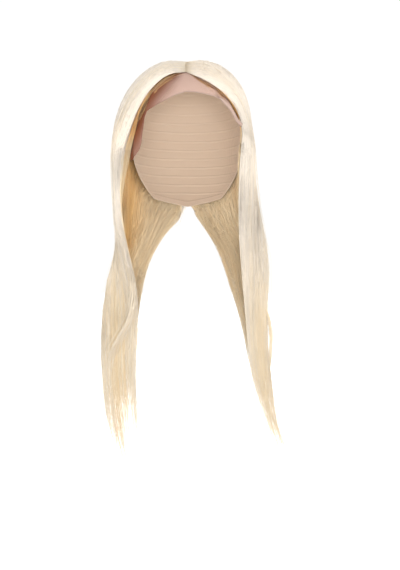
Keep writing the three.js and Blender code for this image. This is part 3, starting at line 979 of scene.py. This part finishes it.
def lace_material():
    material, tree, shader = new_material("flesh_lace")
    net = honeycomb(tree, LACE_PITCH)
    hole = map_range(tree, (-0.4, 1.2), LACE_COVER, "SMOOTHSTEP")
    place = add_node(tree, "ShaderNodeUVMap", uv_map="net")
    part = add_node(tree, "ShaderNodeSeparateXYZ")
    edge = map_range(tree, LACE_EDGE, (0, 1), "SMOOTHSTEP")
    doubled = add_node(tree, "ShaderNodeAttribute", attribute_name="doubled")
    dense = add_node(tree, "ShaderNodeMath", operation="MAXIMUM")
    solid = add_node(tree, "ShaderNodeMath", operation="MAXIMUM")
    tint = add_node(tree, "ShaderNodeMix", data_type="RGBA")
    tint.inputs["A"].default_value = LACE_TINT
    tint.inputs["B"].default_value = DENSE_TINT
    knots_and_shade = add_node(tree, "ShaderNodeAttribute", attribute_name="knots_and_shade")
    fuller = add_node(tree, "ShaderNodeMath", operation="MAXIMUM")
    knotted_and_shaded = add_node(tree, "ShaderNodeMix", data_type="RGBA")
    knotted_and_shaded.inputs["B"].default_value = KNOT_AND_SHADE_TINT
    rough = map_range(tree, (0, 1), (0.6, 0.85))
    join(
        tree,
        (net, hole.inputs["Value"]),
        (place.outputs["UV"], part.inputs["Vector"]),
        (part.outputs["Y"], edge.inputs["Value"]),
        (edge.outputs["Result"], dense.inputs[0]),
        (doubled.outputs["Fac"], dense.inputs[1]),
        (hole.outputs["Result"], solid.inputs[0]),
        (dense.outputs["Value"], solid.inputs[1]),
        (solid.outputs["Value"], fuller.inputs[0]),
        (knots_and_shade.outputs["Fac"], fuller.inputs[1]),
        (fuller.outputs["Value"], shader.inputs["Alpha"]),
        (dense.outputs["Value"], tint.inputs["Factor"]),
        (tint.outputs["Result"], knotted_and_shaded.inputs["A"]),
        (knots_and_shade.outputs["Fac"], knotted_and_shaded.inputs["Factor"]),
        (knotted_and_shaded.outputs["Result"], shader.inputs["Base Color"]),
        (net, rough.inputs["Value"]),
        (rough.outputs["Result"], shader.inputs["Roughness"]),
    )
    shader.inputs["Sheen Weight"].default_value = 0.04
    return material


LACE = lace_material()
print("made", LACE.name)

# %% Knots and painted shade in the lace
LACE_LIFT = 0.6
KNOT_STEPS = 70

# way along the front edge of the hair, width of the strip of knots and painted shade beside it
KNOTS_AND_SHADE = {
    "left": np.array([(0, 1), (0.04, 8), (0.08, 24), (0.15, 42), (0.28, 50), (0.5, 56)]),
    "right": np.array([(0, 1), (0.06, 3), (0.22, 3), (0.32, 7), (0.5, 8)]),
}


def knot_hair_and_shade(mesh):
    places = np.array([vert.co for vert in mesh.vertices])
    shade = np.zeros(len(places))
    way = np.linspace(0.0, 0.5, KNOT_STEPS)
    for side, table in KNOTS_AND_SHADE.items():
        edge = on_sheet(side, 0 * way + FRONT_SHIFT[side], way, edge_depth(way))
        edge = form_point(edge / MM - FORM_MIDDLE, 0 * way + LACE_LIFT) * MM
        width = np.interp(way, *table.T) * MM
        away = (np.linalg.norm(places[:, None] - edge[None], axis=-1) / width).min(1)
        # knots and painted shade are strongest a little way from the edge, and half as strong right at it
        near = smooth_step(1.0, 0.2, away) * mix(0.5, 1.0, smooth_step(0.0, 0.15, away))
        shade = np.maximum(shade, near)
    mesh.attributes.new("knots_and_shade", "FLOAT", "POINT").data.foreach_set("value", shade.astype(np.float32))


# %% Lace front
LACE_WALL = 0.3 * MM

lace_bm = cap_grid(LACE_LIFT)
cut_at_seam(lace_bm, True)
lace_area = sum(face.calc_area() for face in lace_bm.faces)
lace_front = finish_cloth(lace_bm, "lace_front_net", LACE_WALL, LACE, "lace_front")
knot_hair_and_shade(lace_front.data)
print(lace_front.name, len(lace_front.data.polygons), "faces, area", round(lace_area, 4))

# %% [markdown]
# ## Cap
#
# Behind the lace the cap is a plain stretch net, with rows of sewn tape across it that carry the hair.
# It is seen only from inside. The rows are bands in the material, which follow the height on the cap.

# %% Cap material
CAP_PITCH = 1.4 * MM
TAPE_ROWS = 26.0
TAPE_WANDER = 0.6
# part of each wave of rows that is tape, and the ways down between which the hem starts
TAPE_BAND = (0.86, 0.95)
HEM_EDGE = (0.955, 0.962)
CAP_TINT = (0.66, 0.53, 0.41, 1)
TAPE_TINT = (0.69, 0.56, 0.44, 1)


def cap_material():
    material, tree, shader = new_material("cap_net")
    net = honeycomb(tree, CAP_PITCH)
    where = add_node(tree, "ShaderNodeTexCoord")
    rows = add_node(tree, "ShaderNodeTexWave", wave_type="BANDS", bands_direction="Z", in_Scale=TAPE_ROWS)
    rows.inputs["Distortion"].default_value = TAPE_WANDER
    tape = map_range(tree, TAPE_BAND, (0, 1), "SMOOTHSTEP")
    place = add_node(tree, "ShaderNodeUVMap", uv_map="net")
    part = add_node(tree, "ShaderNodeSeparateXYZ")
    hem = map_range(tree, HEM_EDGE, (0, 1), "SMOOTHSTEP")
    band = add_node(tree, "ShaderNodeMath", operation="MAXIMUM")
    weave = map_range(tree, (-1.5, 3.0), (1.0, 0.9))
    ground = add_node(tree, "ShaderNodeMix", data_type="RGBA")
    ground.inputs["A"].default_value = CAP_TINT
    ground.inputs["B"].default_value = TAPE_TINT
    tint = add_node(tree, "ShaderNodeMix", data_type="RGBA", blend_type="MULTIPLY", in_Factor=1.0)
    relief = add_node(tree, "ShaderNodeBump", in_Strength=0.6, in_Distance=0.8 * MM)
    join(
        tree,
        (where.outputs["Object"], rows.inputs["Vector"]),
        (rows.outputs["Fac"], tape.inputs["Value"]),
        (place.outputs["UV"], part.inputs["Vector"]),
        (part.outputs["Y"], hem.inputs["Value"]),
        (tape.outputs["Result"], band.inputs[0]),
        (hem.outputs["Result"], band.inputs[1]),
        (band.outputs["Value"], ground.inputs["Factor"]),
        (net, weave.inputs["Value"]),
        (ground.outputs["Result"], tint.inputs["A"]),
        (weave.outputs["Result"], tint.inputs["B"]),
        (tint.outputs["Result"], shader.inputs["Base Color"]),
        (band.outputs["Value"], relief.inputs["Height"]),
        (relief.outputs["Normal"], shader.inputs["Normal"]),
    )
    shader.inputs["Roughness"].default_value = 0.85
    shader.inputs["Sheen Weight"].default_value = 0.15
    return material


# %% Cap
CAP_LIFT = 0.7
CAP_WALL = 0.5 * MM

cap_bm = cap_grid(CAP_LIFT)
cut_at_seam(cap_bm, False)
cap_area = sum(face.calc_area() for face in cap_bm.faces)
cap = finish_cloth(cap_bm, "cap_net", CAP_WALL, cap_material(), "cap_base")
print(cap.name, len(cap.data.polygons), "faces, area", round(cap_area, 4))

# %% [markdown]
# ## Studio
#
# A wide pale floor under a white sky gives the plain ground of the picture. The strongest light is a
# soft one close to the camera, which leaves hardly a shadow on hair that faces it. Two weak lights at
# the sides and one behind round the form, and the bright surround fills what is left.

# %% Floor
FLOOR_Z = -545 * MM
FLOOR_HALF = 30.0
FLOOR_GLOW = 0.5


def studio_floor():
    bm = bmesh.new()
    bmesh.ops.create_grid(bm, x_segments=1, y_segments=1, size=FLOOR_HALF)
    bmesh.ops.translate(bm, verts=bm.verts, vec=(0, 0, FLOOR_Z))
    mesh = bpy.data.meshes.new("floor")
    bm.to_mesh(mesh)
    bm.free()
    floor = bpy.data.objects.new("floor", mesh)
    scene.collection.objects.link(floor)
    material, tree, shader = new_material("pale_floor")
    grain = add_node(tree, "ShaderNodeTexNoise", in_Scale=30.0)
    soft = map_range(tree, (0, 1), (0.90, 0.93))
    join(
        tree,
        (grain.outputs["Fac"], soft.inputs["Value"]),
        (soft.outputs["Result"], shader.inputs["Base Color"]),
    )
    shader.inputs["Roughness"].default_value = 0.9
    shader.inputs["Emission Color"].default_value = (1, 1, 1, 1)
    shader.inputs["Emission Strength"].default_value = FLOOR_GLOW
    mesh.materials.append(material)
    return floor


print("made", studio_floor().name)

# %% Lights
# name, place and target in metres, width, power
LIGHTS = [
    ("key_light", (-1.5, -1.8, -0.25), (0, 0, -0.3), 1.6, 4),
    ("fill_light", (1.5, -1.8, -0.3), (0.03, 0, -0.3), 1.6, 5),
    ("front_light", (0.1, -2.4, -0.5), (0, 0, -0.35), 0.8, 38),
    ("back_light", (0.2, 1.9, 0.9), (0, 0, -0.2), 1.4, 20),
]


def soft_light(name, place, target, size, power):
    data = bpy.data.lights.new(name, "AREA")
    data.shape = "DISK"
    data.size = size
    data.energy = power
    light = bpy.data.objects.new(name, data)
    light.location = place
    light.rotation_euler = (Vector(target) - Vector(place)).to_track_quat("-Z", "Y").to_euler()
    scene.collection.objects.link(light)
    return light


print("made", [soft_light(*row).name for row in LIGHTS])

# %% Surround
SURROUND_COLOUR = (1.0, 0.995, 0.985, 1)
# strength as a light, and as the background that the camera sees
SURROUND_STRENGTH = (0.84, 1.03)

world = bpy.data.worlds.new("studio")
world.use_nodes = True
sky = world.node_tree.nodes["Background"]
sky.inputs["Color"].default_value = SURROUND_COLOUR
seen = add_node(world.node_tree, "ShaderNodeLightPath")
level = map_range(world.node_tree, (0, 1), SURROUND_STRENGTH)
join(
    world.node_tree,
    (seen.outputs["Is Camera Ray"], level.inputs["Value"]),
    (level.outputs["Result"], sky.inputs["Strength"]),
)
scene.world = world
scene.view_settings.view_transform = "Standard"
print("made", world.name)
